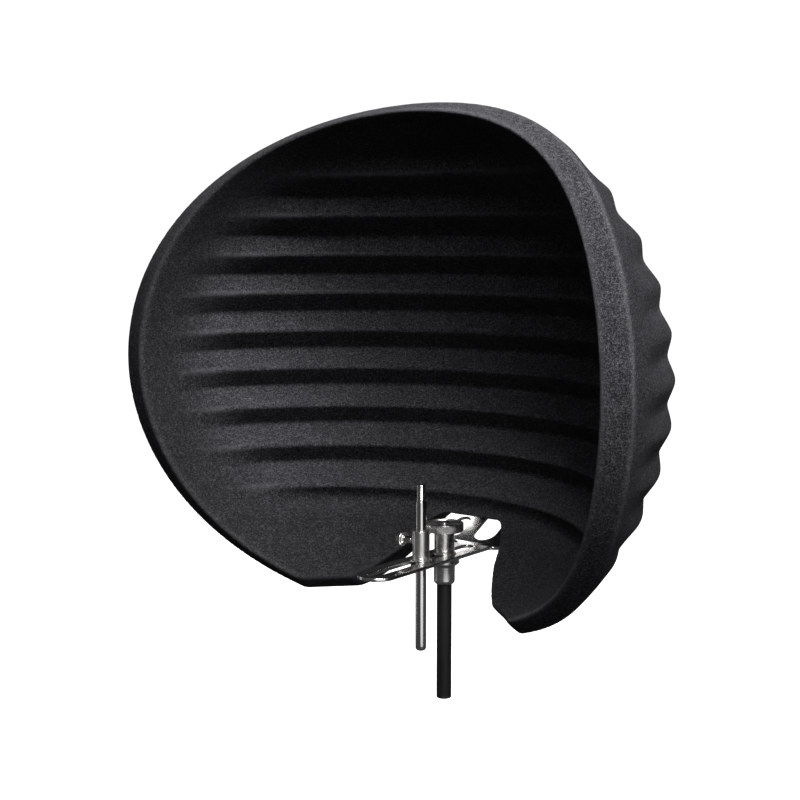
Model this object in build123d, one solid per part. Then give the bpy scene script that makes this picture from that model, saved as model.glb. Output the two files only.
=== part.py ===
from build123d import *
import os
from math import cos, radians, sin, sqrt, tan

os.makedirs("parts", exist_ok=True)

# Millimetres. The origin is the lower end of the stand post, on its axis. +Z is up and the
# bowl opens towards -Y. Heights marked "above the bar" count from the slotted bar's top face.
BAR_TOP = 146.0

# felt bowl: the space between two ellipsoids, cut at the front by a large cylinder
BOWL_Y = -152.0
BOWL_Z = BAR_TOP + 185.0
OUTER_HALF = (288.0, 286.0, 266.0)
INNER_HALF = (261.0, 257.0, 252.0)
FRONT_RADIUS = 303.0
FRONT_Y = -156.0
FRONT_Z = BAR_TOP + 188.0
# ring-shaped ribs: grooves outside and matching beads inside
RIB_PITCH = 39.6
GROOVE_DEPTH = 4.5
GROOVE_TUBE = 24.0
BEAD_DEPTH = 9.0
BEAD_TUBE = 18.0
RIB_COUNT = 9
RIB_MIDDLE = BAR_TOP + 209.7
RIM_DEPTH = 22.0
# half width of the notch, with the height above the bar where it is that wide
NOTCH_SIDE = [(35.0, 29.5), (45.6, 18.5), (54.8, 2.1), (63.2, -14.3), (82.0, -33.3), (97.0, -41.2),
              (124.0, -46.5)]
NOTCH_FLOOR = -80.0

# slotted bracket: a flat bar, a slope with three stadium openings, and a steep flange
SHEET = 3.5
BAR_HALF = 19.0
BAR_FRONT = -123.0
SLOT_WIDTH = 12.5
SLOT_FRONT = -115.0
SLOT_BACK = 45.0
BEND_Y = 54.0
SLOPE_ANGLE = 28.0
SLOPE_END_Y = 106.0
FLANGE_ANGLE = 70.0
FLANGE_LENGTH = 92.0
FLARE_HALF = 55.0
FLARE_START_Y = 50.0
FLARE_END_Y = 62.0
BEND_RADIUS = 6.0
STADIUM_WIDTH = 25.0
STADIUM_LENGTH = 46.0
SIDE_STADIUM_WIDTH = 16.0
SIDE_STADIUM_LENGTH = 30.0
SIDE_STADIUM_X = 35.0
SIDE_STADIUM_LOWER = 8.0
PLATE_CORNER = 8.0

# screws that hold the flange to the felt
SCREW_RADIUS = 3.0
SCREW_HEAD_RADIUS = 5.25
SCREW_HEAD = 3.3
SCREW_LENGTH = 18.0
SCREW_SPACING = (72.0, 34.0)
SCREW_ROW_MID = 60.0
WASHER_RADIUS = 7.0
WASHER = 1.2
INSERT_RADIUS = 5.0
INSERT_LENGTH = 16.0
SEAT_SIZE = (116.0, 70.0)
SEAT_DEPTH = 16.0
CLEAR = 0.05
BASE = (Align.CENTER, Align.CENTER, Align.MIN)

# stand post and adaptor
POST_RADIUS = 7.4
POST_BORE = 5.9
POST_TOP = BAR_TOP - 30.0
SPIGOT_RADIUS = 4.76
SPIGOT_RISE = 7.0
SPIGOT_PLUG = 22.0
END_PLUG = 12.0
ADAPTOR_RADIUS = 10.5
FLANGE_RADIUS = 15.0
FLANGE_DEEP = 4.7
SHOULDER = 3.5
GASKET = 0.7

# hand wheel, its neck and its stud
STUD_RADIUS = 4.0
STUD_BELOW = 17.0
STUD_ABOVE = 16.0
STUD_TRAVEL = 4.0
WHEEL_WASHER_RADIUS = 11.5
WHEEL_WASHER = 1.0
NECK_RADIUS = 10.0
WHEEL_RADIUS = 18.75
WHEEL_BOTTOM = 22.6
WHEEL_TOP = 30.6
WHEEL_RECESS = (16.2, 1.4)
CAP_RADIUS = 2.6
CAP_HEIGHT = 1.6
GUIDE_LENGTH = 24.0

# microphone rod and its collar
ROD_Y = -37.7
ROD_RADIUS = 5.3
ROD_TOP = 74.0
ROD_BOTTOM = -89.0
THREAD_RADIUS = 4.7625
THREAD_LENGTH = 17.0
COLLAR_RADIUS = 8.4
COLLAR_TOP = 29.5
LIP_RADIUS = 8.8
LIP_HEIGHT = 1.6
TAIL_RADIUS = 6.1
FOOT_RADIUS = 10.5
FOOT = 1.0
NUT_RADIUS = 10.0
NUT = 3.0

# thumb screw of the collar, which points to -X
THUMB_Z = BAR_TOP + 18.0
THUMB_THREAD = 2.5
THUMB_KNOB_RADIUS = 7.2
THUMB_KNOB_START = 19.5
THUMB_KNOB = 7.0
PAD_THICK = 1.2


def above(height):
    """Height in the part's frame of a point so far above the bar's top face."""
    return BAR_TOP + height


def disc(radius, low, high, x=0.0, y=0.0):
    """Upright cylinder between two heights."""
    return Pos(x, y, low) * Cylinder(radius, high - low, align=BASE)


def ring(outer, inner, low, high, x=0.0, y=0.0):
    """Upright tube between two heights."""
    return disc(outer, low, high, x, y) - disc(inner, low - 1, high + 1, x, y)


def rod_x(radius, start, end, y, z):
    """Cylinder along X between two places."""
    body = Cylinder(radius, end - start, align=BASE)
    return Pos(start, y, z) * Rot(0, 90, 0) * body


# ---------------------------------------------------------------- plate geometry

def slope_z(y):
    """Height above the bar of the slope's upper face."""
    return (y - BEND_Y) * tan(radians(SLOPE_ANGLE))


def flange_plane():
    """Plane of the flange's felt side, from its lower end, with x along X and y up the flange."""
    origin = (0, SLOPE_END_Y, above(slope_z(SLOPE_END_Y)))
    normal = (0, -sin(radians(FLANGE_ANGLE)), cos(radians(FLANGE_ANGLE)))
    return Plane(origin=origin, x_dir=(1, 0, 0), z_dir=normal)


def slope_plane():
    """Plane of the slope's upper face, from the bend line, with y up the slope."""
    normal = (0, -sin(radians(SLOPE_ANGLE)), cos(radians(SLOPE_ANGLE)))
    return Plane(origin=(0, BEND_Y, BAR_TOP), x_dir=(1, 0, 0), z_dir=normal)


def screw_spots():
    """The four screw places in the flange plane."""
    half_x = SCREW_SPACING[0] / 2
    half_y = SCREW_SPACING[1] / 2
    return [(x, SCREW_ROW_MID + y) for x in (-half_x, half_x) for y in (-half_y, half_y)]


# ---------------------------------------------------------------- felt bowl

def ellipsoid(half):
    """Solid ellipsoid on the bowl's centre."""
    return Pos(0, BOWL_Y, BOWL_Z) * scale(Sphere(1.0), by=half)


def notch_tool():
    """Solid that cuts the notch, straight through the bowl along Y."""
    right = [(x, above(z)) for x, z in NOTCH_SIDE]
    left = [(-x, z) for x, z in right]
    side_right = Spline(*right)
    side_left = Spline(*left)
    top = Line(left[0], right[0])
    low = above(NOTCH_FLOOR)
    bottom = Polyline(left[-1], (left[-1][0], low), (right[-1][0], low), right[-1])
    face = Plane.XZ * make_face([side_right, side_left, top, bottom])
    return extrude(face, amount=400, both=True)


def seat():
    """Flat moulded seat for the bracket's flange on the bowl's back."""
    block = Box(SEAT_SIZE[0], SEAT_SIZE[1], SEAT_DEPTH, align=BASE)
    block = fillet(block.edges().filter_by(Axis.Z), PLATE_CORNER)
    return flange_plane() * Pos(0, SCREW_ROW_MID - 2, 0) * block


def ribbed_ellipsoid(half, depth, tube):
    """Ellipsoid with one ring groove for each rib, cut by a ring of that tube radius."""
    body = ellipsoid(half)
    for index in range(RIB_COUNT):
        height = RIB_MIDDLE + (index - (RIB_COUNT - 1) / 2) * RIB_PITCH
        reach = half[1] * sqrt(1 - ((height - BOWL_Z) / half[2]) ** 2)
        body = body - Pos(0, BOWL_Y, height) * Torus(reach + tube - depth, tube)
    return body


def behind_front(depth):
    """Everything at least so far behind the bowl's curved front."""
    body = Cylinder(FRONT_RADIUS, 700, rotation=(0, 90, 0))
    return Pos(0, FRONT_Y + FRONT_RADIUS + depth, FRONT_Z) * body


def filter_shell():
    """The moulded felt bowl with its ribs, plain rim, notch, seat and insert pockets."""
    outside = ribbed_ellipsoid(OUTER_HALF, GROOVE_DEPTH, GROOVE_TUBE)
    inside = ribbed_ellipsoid(INNER_HALF, BEAD_DEPTH, BEAD_TUBE)
    ribbed = (outside - inside) & behind_front(RIM_DEPTH)
    plain = ((ellipsoid(OUTER_HALF) - ellipsoid(INNER_HALF)) & behind_front(0)) - behind_front(RIM_DEPTH)
    bowl = ribbed + plain - notch_tool() + seat()
    for x, y in screw_spots():
        pocket = Cylinder(INSERT_RADIUS, INSERT_LENGTH + 1, align=BASE)
        bowl = bowl - flange_plane() * Pos(x, y, -0.5) * pocket
    return bowl


# ---------------------------------------------------------------- bracket

def bent_sheet():
    """The full-width sheet, bent along X into bar, slope and flange."""
    slope_end = (SLOPE_END_Y, above(slope_z(SLOPE_END_Y)))
    rise = radians(FLANGE_ANGLE)
    flange_end = (slope_end[0] + FLANGE_LENGTH * cos(rise), slope_end[1] + FLANGE_LENGTH * sin(rise))
    points = [(BAR_FRONT, BAR_TOP), (BEND_Y, BAR_TOP), slope_end, flange_end]
    top = FilletPolyline(*points, radius=BEND_RADIUS)
    profile = Plane.YZ * make_face(offset(top, amount=SHEET, side=Side.RIGHT))
    return extrude(profile, amount=FLARE_HALF, both=True)


def plan_outline():
    """Outline of the bracket from above: a bar with a round front end that flares behind."""
    back = 200.0
    nose = BAR_FRONT + BAR_HALF
    right = Polyline((BAR_HALF, nose), (BAR_HALF, FLARE_START_Y), (FLARE_HALF, FLARE_END_Y),
                     (FLARE_HALF, back), (-FLARE_HALF, back), (-FLARE_HALF, FLARE_END_Y),
                     (-BAR_HALF, FLARE_START_Y), (-BAR_HALF, nose))
    tip = ThreePointArc((-BAR_HALF, nose), (0, BAR_FRONT), (BAR_HALF, nose))
    return make_face([right, tip])


def bar_slot():
    """The long slot of the bar, as a tool."""
    middle = (SLOT_FRONT + SLOT_BACK) / 2
    slot = SlotOverall(SLOT_BACK - SLOT_FRONT, SLOT_WIDTH, rotation=90)
    return extrude(Pos(0, middle, BAR_TOP) * slot, amount=3 * SHEET, both=True)


def stadium_tools():
    """A long stadium opening up the middle of the slope, and a shorter, lower one on each side."""
    run = (SLOPE_END_Y - BEND_Y) / cos(radians(SLOPE_ANGLE))
    middle = Pos(0, run / 2, 0) * SlotOverall(STADIUM_LENGTH, STADIUM_WIDTH, rotation=90)
    side = SlotOverall(SIDE_STADIUM_LENGTH, SIDE_STADIUM_WIDTH, rotation=90)
    low = run / 2 - SIDE_STADIUM_LOWER
    outlines = [middle, Pos(-SIDE_STADIUM_X, low, 0) * side, Pos(SIDE_STADIUM_X, low, 0) * side]
    return [extrude(slope_plane() * outline, amount=3 * SHEET, both=True) for outline in outlines]


def support_bracket():
    """Slotted bar that is bent up behind the bowl, in one piece of sheet."""
    sheet = bent_sheet() & extrude(Pos(0, 0, BAR_TOP - 20) * plan_outline(), amount=200)
    short_edges = sheet.edges().filter_by(lambda edge: edge.length < SHEET * 1.1)
    sheet = fillet(short_edges.sort_by(Axis.Z)[-2:], PLATE_CORNER)
    sheet = sheet - bar_slot()
    for tool in stadium_tools():
        sheet = sheet - tool
    for x, y in screw_spots():
        sheet = sheet - flange_plane() * Pos(x, y, 0) * Cylinder(SCREW_RADIUS + 0.3, 3 * SHEET)
    return sheet


def on_flange(shape):
    """The same piece at each of the four screw places, as separate solids."""
    return Compound(children=[flange_plane() * Pos(x, y, 0) * shape for x, y in screw_spots()])


def bracket_screw():
    """Button-head screw, with its head behind the flange and its tip in the felt."""
    under_head = -SHEET - WASHER
    shank = Pos(0, 0, under_head) * Cylinder(SCREW_RADIUS, SCREW_LENGTH, align=BASE)
    head = Pos(0, 0, under_head - SCREW_HEAD) * Cylinder(SCREW_HEAD_RADIUS, SCREW_HEAD, align=BASE)
    head = fillet(head.edges().sort_by(Axis.Z)[0], SCREW_HEAD * 0.7)
    key = Pos(0, 0, under_head - SCREW_HEAD) * extrude(RegularPolygon(2.0, 6, major_radius=False), amount=1.9)
    return shank + head - key


def bracket_washer():
    """Flat washer under a screw head."""
    tube = Cylinder(WASHER_RADIUS, WASHER, align=BASE) - Cylinder(SCREW_RADIUS + 0.2, 3 * WASHER)
    return Pos(0, 0, -SHEET - WASHER) * tube


def felt_insert():
    """Blind threaded insert set in the felt's seat."""
    body = Cylinder(INSERT_RADIUS - CLEAR, INSERT_LENGTH, align=BASE)
    return body - Pos(0, 0, -1) * Cylinder(SCREW_RADIUS + CLEAR, INSERT_LENGTH, align=BASE)


# ---------------------------------------------------------------- stand post and adaptor

def stand_post():
    """Black tube with a bore for its two plugs."""
    return ring(POST_RADIUS, POST_BORE, 0, POST_TOP - CLEAR)


def post_spigot():
    """Plug in the tube's upper end with the threaded stub that enters the adaptor."""
    plug = disc(POST_BORE - CLEAR, POST_TOP - SPIGOT_PLUG, POST_TOP)
    stub = disc(SPIGOT_RADIUS, POST_TOP, POST_TOP + SPIGOT_RISE - 1)
    return plug + chamfer(stub.edges().sort_by(Axis.Z)[-1], 0.8)


def post_end_plug():
    """Plug that closes the tube's lower end, hollow from above."""
    plug = disc(POST_BORE - CLEAR, 0.3, END_PLUG)
    return plug - disc(POST_BORE - 1.5, 2.0, END_PLUG + 1)


def stand_adaptor():
    """Turned socket with a flange under the bar, a thread for the post and one for the stud."""
    top = BAR_TOP - SHEET - GASKET - CLEAR
    shoulder = top - FLANGE_DEEP
    neck = shoulder - SHOULDER
    foot = POST_TOP + 1.6
    outline = Polyline((0, top), (FLANGE_RADIUS - 0.5, top), (FLANGE_RADIUS, top - 0.5), (FLANGE_RADIUS, shoulder),
                       (ADAPTOR_RADIUS, neck), (ADAPTOR_RADIUS, foot), (ADAPTOR_RADIUS - 1.6, POST_TOP),
                       (0, POST_TOP), close=True)
    body = revolve(Plane.XZ * make_face(outline), axis=Axis.Z)
    stud_floor = BAR_TOP - STUD_BELOW - STUD_TRAVEL
    body = body - disc(STUD_RADIUS + CLEAR, stud_floor, BAR_TOP)
    return body - disc(SPIGOT_RADIUS + CLEAR, POST_TOP - 1, POST_TOP + SPIGOT_RISE - 0.5)


def flange_gasket():
    """Thin rubber ring on the adaptor's flange, against the bar."""
    return ring(FLANGE_RADIUS - 1, STUD_RADIUS + 1, BAR_TOP - SHEET - GASKET - CLEAR, BAR_TOP - SHEET - CLEAR)


def slot_guide():
    """Nylon bush with flat sides that turns on the stud and runs in the slot."""
    slot = SlotOverall(GUIDE_LENGTH, SLOT_WIDTH - 0.2, rotation=90)
    body = extrude(Pos(0, 0, BAR_TOP - SHEET + 0.1) * slot, amount=SHEET - 0.2)
    return body - disc(STUD_RADIUS + CLEAR, BAR_TOP - 2 * SHEET, BAR_TOP + SHEET)


# ---------------------------------------------------------------- hand wheel

def wheel_washer():
    """Steel washer between the bar and the wheel's neck."""
    return ring(WHEEL_WASHER_RADIUS, STUD_RADIUS + CLEAR, above(CLEAR), above(CLEAR + WHEEL_WASHER))


def wheel_neck():
    """Turned neck that carries the wheel."""
    low = above(WHEEL_WASHER + 2 * CLEAR)
    body = disc(NECK_RADIUS, low, above(WHEEL_BOTTOM))
    body = chamfer(body.edges().sort_by(Axis.Z)[0], 0.6)
    return body - disc(STUD_RADIUS + 0.02, low - 1, above(STUD_ABOVE + 0.02))


def clamp_stud():
    """Threaded stud from the neck through the slot into the adaptor."""
    stud = disc(STUD_RADIUS, BAR_TOP - STUD_BELOW, above(STUD_ABOVE))
    return chamfer(stud.edges().sort_by(Axis.Z)[0], 0.8)


def clamp_wheel():
    """Hand wheel with a shallow dish in its top."""
    radius, depth = WHEEL_RECESS
    body = disc(WHEEL_RADIUS, above(WHEEL_BOTTOM), above(WHEEL_TOP))
    body = chamfer(body.edges(), 0.7)
    body = body - disc(radius, above(WHEEL_TOP - depth), above(WHEEL_TOP + 1))
    return body - disc(CAP_RADIUS + CLEAR, above(WHEEL_TOP - depth - 2), above(WHEEL_TOP))


def wheel_cap():
    """Small domed stud head in the middle of the dish."""
    low = above(WHEEL_TOP - WHEEL_RECESS[1] - 2)
    body = disc(CAP_RADIUS, low + CLEAR, low + 2 + CAP_HEIGHT)
    return fillet(body.edges().sort_by(Axis.Z)[-1], 1.0)


# ---------------------------------------------------------------- microphone rod

def mic_rod():
    """Polished rod with a microphone thread at its top and a round lower end."""
    body = disc(ROD_RADIUS, above(ROD_BOTTOM), above(ROD_TOP - THREAD_LENGTH), y=ROD_Y)
    body = fillet(body.edges().sort_by(Axis.Z)[0], ROD_RADIUS * 0.45)
    thread = disc(THREAD_RADIUS, above(ROD_TOP - THREAD_LENGTH), above(ROD_TOP), y=ROD_Y)
    return body + chamfer(thread.edges().sort_by(Axis.Z)[-1], 1.0)


def collar_foot_washer():
    """Thin washer between the bar and the collar."""
    return ring(FOOT_RADIUS, TAIL_RADIUS + CLEAR, above(CLEAR), above(CLEAR + FOOT), y=ROD_Y)


def rod_collar():
    """Sleeve with a lip at its top, a threaded side hole and a tail that runs in the slot."""
    low = above(FOOT + 2 * CLEAR)
    body = disc(COLLAR_RADIUS, low, above(COLLAR_TOP), y=ROD_Y)
    body = body + disc(LIP_RADIUS, above(COLLAR_TOP - LIP_HEIGHT), above(COLLAR_TOP), y=ROD_Y)
    body = body + disc(TAIL_RADIUS, BAR_TOP - SHEET - NUT - 0.6, low, y=ROD_Y)
    body = body - disc(ROD_RADIUS + CLEAR, BAR_TOP - 40, BAR_TOP + 40, y=ROD_Y)
    return body - rod_x(THUMB_THREAD + CLEAR, -2 * COLLAR_RADIUS, 0, ROD_Y, THUMB_Z)


def ring_nut():
    """Thin round nut on the collar's tail, under the bar."""
    body = ring(NUT_RADIUS, TAIL_RADIUS + 0.02, BAR_TOP - SHEET - NUT - 0.1, BAR_TOP - SHEET - 0.1, y=ROD_Y)
    return body


def clamp_pad():
    """Brass pad at the thumb screw's tip, against the rod."""
    start = -ROD_RADIUS - 0.1 - PAD_THICK
    return rod_x(THUMB_THREAD - 0.1, start, start + PAD_THICK, ROD_Y, THUMB_Z)


def thumb_screw_shank():
    """Threaded end and tapered shank of the thumb screw."""
    tip = -ROD_RADIUS - 0.1 - PAD_THICK - CLEAR
    seat_x = -COLLAR_RADIUS - 2.0
    thread = rod_x(THUMB_THREAD, seat_x, tip, ROD_Y, THUMB_Z)
    length = THUMB_KNOB_START + 1.0 + seat_x
    taper = Cone(THUMB_THREAD, THUMB_THREAD + 1.0, length, align=BASE)
    return thread + Pos(seat_x, ROD_Y, THUMB_Z) * Rot(0, -90, 0) * taper


def thumb_screw_knob():
    """Round knob of the thumb screw with a blind bore for the shank."""
    end = -THUMB_KNOB_START - THUMB_KNOB
    body = rod_x(THUMB_KNOB_RADIUS, end, -THUMB_KNOB_START, ROD_Y, THUMB_Z)
    body = fillet(body.edges(), 1.6)
    return body - rod_x(THUMB_THREAD + 1.05, -THUMB_KNOB_START - 1.05, 0, ROD_Y, THUMB_Z)


# ---------------------------------------------------------------- all sub-parts

PARTS = {
    "filter_shell": filter_shell,
    "support_bracket": support_bracket,
    "bracket_screws": lambda: on_flange(bracket_screw()),
    "bracket_washers": lambda: on_flange(bracket_washer()),
    "felt_inserts": lambda: on_flange(felt_insert()),
    "stand_post": stand_post,
    "post_spigot": post_spigot,
    "post_end_plug": post_end_plug,
    "stand_adaptor": stand_adaptor,
    "flange_gasket": flange_gasket,
    "slot_guide": slot_guide,
    "wheel_washer": wheel_washer,
    "wheel_neck": wheel_neck,
    "clamp_stud": clamp_stud,
    "clamp_wheel": clamp_wheel,
    "wheel_cap": wheel_cap,
    "mic_rod": mic_rod,
    "collar_foot_washer": collar_foot_washer,
    "rod_collar": rod_collar,
    "ring_nut": ring_nut,
    "clamp_pad": clamp_pad,
    "thumb_screw_shank": thumb_screw_shank,
    "thumb_screw_knob": thumb_screw_knob,
}

for part_name, build_part in PARTS.items():
    export_step(build_part(), f"parts/{part_name}.step")
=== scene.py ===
"""Looks of a moulded-felt pop filter on its slotted steel bracket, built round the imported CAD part."""

import math

import bmesh
import bpy
import numpy as np
from mathutils import Matrix, Vector


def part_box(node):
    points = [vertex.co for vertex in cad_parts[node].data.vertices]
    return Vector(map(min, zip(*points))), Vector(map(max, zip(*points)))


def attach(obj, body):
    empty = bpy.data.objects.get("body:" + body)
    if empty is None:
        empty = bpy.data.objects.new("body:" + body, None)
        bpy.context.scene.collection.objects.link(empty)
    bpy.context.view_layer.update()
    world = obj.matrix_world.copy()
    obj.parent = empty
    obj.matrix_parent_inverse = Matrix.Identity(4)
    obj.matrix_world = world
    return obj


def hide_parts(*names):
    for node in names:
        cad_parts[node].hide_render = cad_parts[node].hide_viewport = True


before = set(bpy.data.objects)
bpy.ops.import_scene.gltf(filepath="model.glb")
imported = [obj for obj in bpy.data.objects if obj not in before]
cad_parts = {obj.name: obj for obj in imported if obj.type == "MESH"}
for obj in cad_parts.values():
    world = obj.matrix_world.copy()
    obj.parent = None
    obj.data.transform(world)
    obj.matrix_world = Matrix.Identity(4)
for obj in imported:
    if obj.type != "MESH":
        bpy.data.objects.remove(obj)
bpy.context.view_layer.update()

MM = 0.001
BAR_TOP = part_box("clamp_wheel")[0].z / MM - 22.6
# Lengths below are millimetres, and heights count from the slotted bar's top face.
ROD_Y = sum(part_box("mic_rod")[i].y for i in (0, 1)) / 2 / MM
THUMB_Z = 18.0

# felt bowl
BOWL_Y = -152.0
BOWL_Z = 185.0
OUTER = (288.0, 286.0, 267.5)
OUTER_LOW = 269.5
SQUARE_LOW = 0.034
SQUARE_HIGH = 0.015
INNER_HALF = 261.0
INNER_RISE = 258.0
INNER_FLATTEN = 0.131
FLATTEN_AT = 204.0
# the rim's two edges: middle height, reach, place at the middle, square part and fourth-power part
RIDGE_LINE = (190.0, 233.0, -157.0, 80.7, 9.3)
CREASE_LINE = (188.0, 244.0, -150.0, 83.8, 27.2)
CREASE_FOURTH_LOW = 18.0
RIB_PITCH = 39.6
RIB_Z = 229.3
RIB_DEPTH = 5.6
RIB_DEPTH_INSIDE = (16.0, 23.0)
RIB_CREST = 0.82
INNER_CREST = 0.996
NOTCH_TOP = 28.6
NOTCH_CORNER = 5.0
NOTCH_WIDTH = (
    (29.5, 36.5), (22.0, 43.4), (15.7, 48.0), (8.2, 52.2), (-3.3, 56.8), (-13.0, 61.8), (-24.0, 67.6),
    (-31.0, 72.0), (-35.7, 75.6), (-39.0, 79.0), (-42.8, 84.7), (-43.9, 90.3), (-44.5, 98.0),
    (-44.8, 107.7), (-45.0, 119.0), (-45.2, 134.0),
)
RIDGE_ROUND = 4.0
CREASE_ROUND = 1.6
NOTCH_ROUND = 4.5
LOBE_LEAN = 16.0
SHELL_STEP = RIB_PITCH / 16

# bracket
SHEET = 3.5
BAR_HALF = 19.0
BAR_FRONT = -123.0
SLOT_WIDTH = 12.5
SLOT_FRONT = -115.0
SLOT_BACK = 45.0
BEND_Y = 54.0
SLOPE_ANGLE = math.radians(28.0)
SLOPE_END_Y = 106.0
FLANGE_ANGLE = math.radians(70.0)
FLANGE_LENGTH = 92.0
FLARE_HALF = 55.0
FLARE_Y = (50.0, 62.0)
BEND_RADIUS = 6.0
STADIUM = (25.0, 46.0)
SIDE_STADIUM = (16.0, 30.0)
SIDE_STADIUM_X = 35.0
SIDE_STADIUM_LOWER = 8.0
PLATE_CORNER = 8.0
EDGE_ROUND = 0.9
SCREW_SPOTS = [(x, 60.0 + y) for x in (-36.0, 36.0) for y in (-17.0, 17.0)]
SCREW_HOLE = 3.3


# ------------------------------------------------------------------ small helpers

def smoothstep(low, high, value):
    """0 up to low, 1 from high on, and a soft step between. It steps down where high is below low."""
    t = np.clip((value - low) / (high - low), 0, 1)
    return t * t * (3 - 2 * t)


def add_object(name, data):
    """New object in the scene."""
    made = bpy.data.objects.new(name, data)
    bpy.context.scene.collection.objects.link(made)
    return made


def mesh_object(name, points, faces, sharp_degrees=40.0):
    """Object from points in millimetres above the bar, smooth shaded with sharp edges kept."""
    points = np.asarray(points, float) * MM
    points[:, 2] += BAR_TOP * MM
    mesh = bpy.data.meshes.new(name)
    mesh.from_pydata(points.tolist(), [], [list(map(int, f)) for f in faces])
    mesh.validate()
    mesh.polygons.foreach_set("use_smooth", [True] * len(mesh.polygons))
    mesh.update()
    if sharp_degrees:
        mesh.set_sharp_from_angle(angle=math.radians(sharp_degrees))
    return add_object(name, mesh)


def dress(piece, body, material, slot, *nodes):
    """Puts a piece on its body with its material, in place of its CAD nodes."""
    piece.data.materials.clear()
    piece.data.materials.append(material)
    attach(piece, body)
    if nodes:
        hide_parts(*nodes)
    return piece


# ------------------------------------------------------------------ node materials

class Shader:
    """One node material with a few short ways to add nodes."""

    def __init__(self, name):
        self.material = bpy.data.materials.new(name)
        self.material.use_nodes = True
        self.tree = self.material.node_tree
        self.tree.nodes.clear()
        self.out = self.tree.nodes.new("ShaderNodeOutputMaterial")
        self.bsdf = self.tree.nodes.new("ShaderNodeBsdfPrincipled")
        self.link(self.bsdf.outputs[0], self.out.inputs[0])
        self.coords = self.tree.nodes.new("ShaderNodeTexCoord").outputs["Object"]

    def link(self, a, b):
        self.tree.links.new(a, b)

    def set(self, **values):
        for key, value in values.items():
            self.bsdf.inputs[key.replace("_", " ")].default_value = value

    def scaled(self, scale):
        """Object coordinates times three scales."""
        node = self.tree.nodes.new("ShaderNodeMapping")
        node.inputs["Scale"].default_value = scale
        self.link(self.coords, node.inputs["Vector"])
        return node.outputs[0]

    def noise(self, scale, detail=3.0, rough=0.55, vector=None, distortion=0.0):
        node = self.tree.nodes.new("ShaderNodeTexNoise")
        node.inputs["Scale"].default_value = scale
        node.inputs["Detail"].default_value = detail
        node.inputs["Roughness"].default_value = rough
        node.inputs["Distortion"].default_value = distortion
        self.link(vector or self.coords, node.inputs["Vector"])
        return node.outputs[0]

    def math(self, operation, a, b):
        node = self.tree.nodes.new("ShaderNodeMath")
        node.operation = operation
        for socket, value in zip(node.inputs, (a, b)):
            if isinstance(value, (int, float)):
                socket.default_value = value
            else:
                self.link(value, socket)
        return node.outputs[0]

    def span(self, value, low, high, to_low=0.0, to_high=1.0):
        """Maps low...high to another span."""
        node = self.tree.nodes.new("ShaderNodeMapRange")
        for key, number in zip(("From Min", "From Max", "To Min", "To Max"), (low, high, to_low, to_high)):
            node.inputs[key].default_value = number
        self.link(value, node.inputs["Value"])
        return node.outputs[0]

    def ramp(self, value, *stops):
        """Colours along a value: each stop is a place and a grey or an RGB."""
        node = self.tree.nodes.new("ShaderNodeValToRGB")
        band = node.color_ramp
        while len(band.elements) < len(stops):
            band.elements.new(0.5)
        for element, (place, colour) in zip(band.elements, stops):
            element.position = place
            rgb = colour if isinstance(colour, tuple) else (colour,) * 3
            element.color = (*rgb, 1.0)
        self.link(value, node.inputs["Fac"])
        return node.outputs[0]

    def mix(self, share, a, b, blend="MIX"):
        node = self.tree.nodes.new("ShaderNodeMix")
        node.data_type = "RGBA"
        node.blend_type = blend
        for socket, value in ((node.inputs[0], share), (node.inputs[6], a), (node.inputs[7], b)):
            if isinstance(value, (int, float)):
                socket.default_value = value
            elif isinstance(value, tuple):
                socket.default_value = (*value, 1.0)
            else:
                self.link(value, socket)
        return node.outputs[2]

    def attribute(self, name):
        node = self.tree.nodes.new("ShaderNodeAttribute")
        node.attribute_name = name
        return node.outputs["Fac"]

    def bump(self, height, distance, strength=1.0, under=None):
        node = self.tree.nodes.new("ShaderNodeBump")
        node.inputs["Distance"].default_value = distance * MM
        node.inputs["Strength"].default_value = strength
        self.link(height, node.inputs["Height"])
        if under is not None:
            self.link(under, node.inputs["Normal"])
        self.link(node.outputs[0], self.bsdf.inputs["Normal"])
        return node.outputs[0]

    def radial_tangent(self, axis="Z"):
        """Tangent that runs round a turned part."""
        node = self.tree.nodes.new("ShaderNodeTangent")
        node.direction_type = "RADIAL"
        node.axis = axis
        self.link(node.outputs[0], self.bsdf.inputs["Tangent"])


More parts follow.
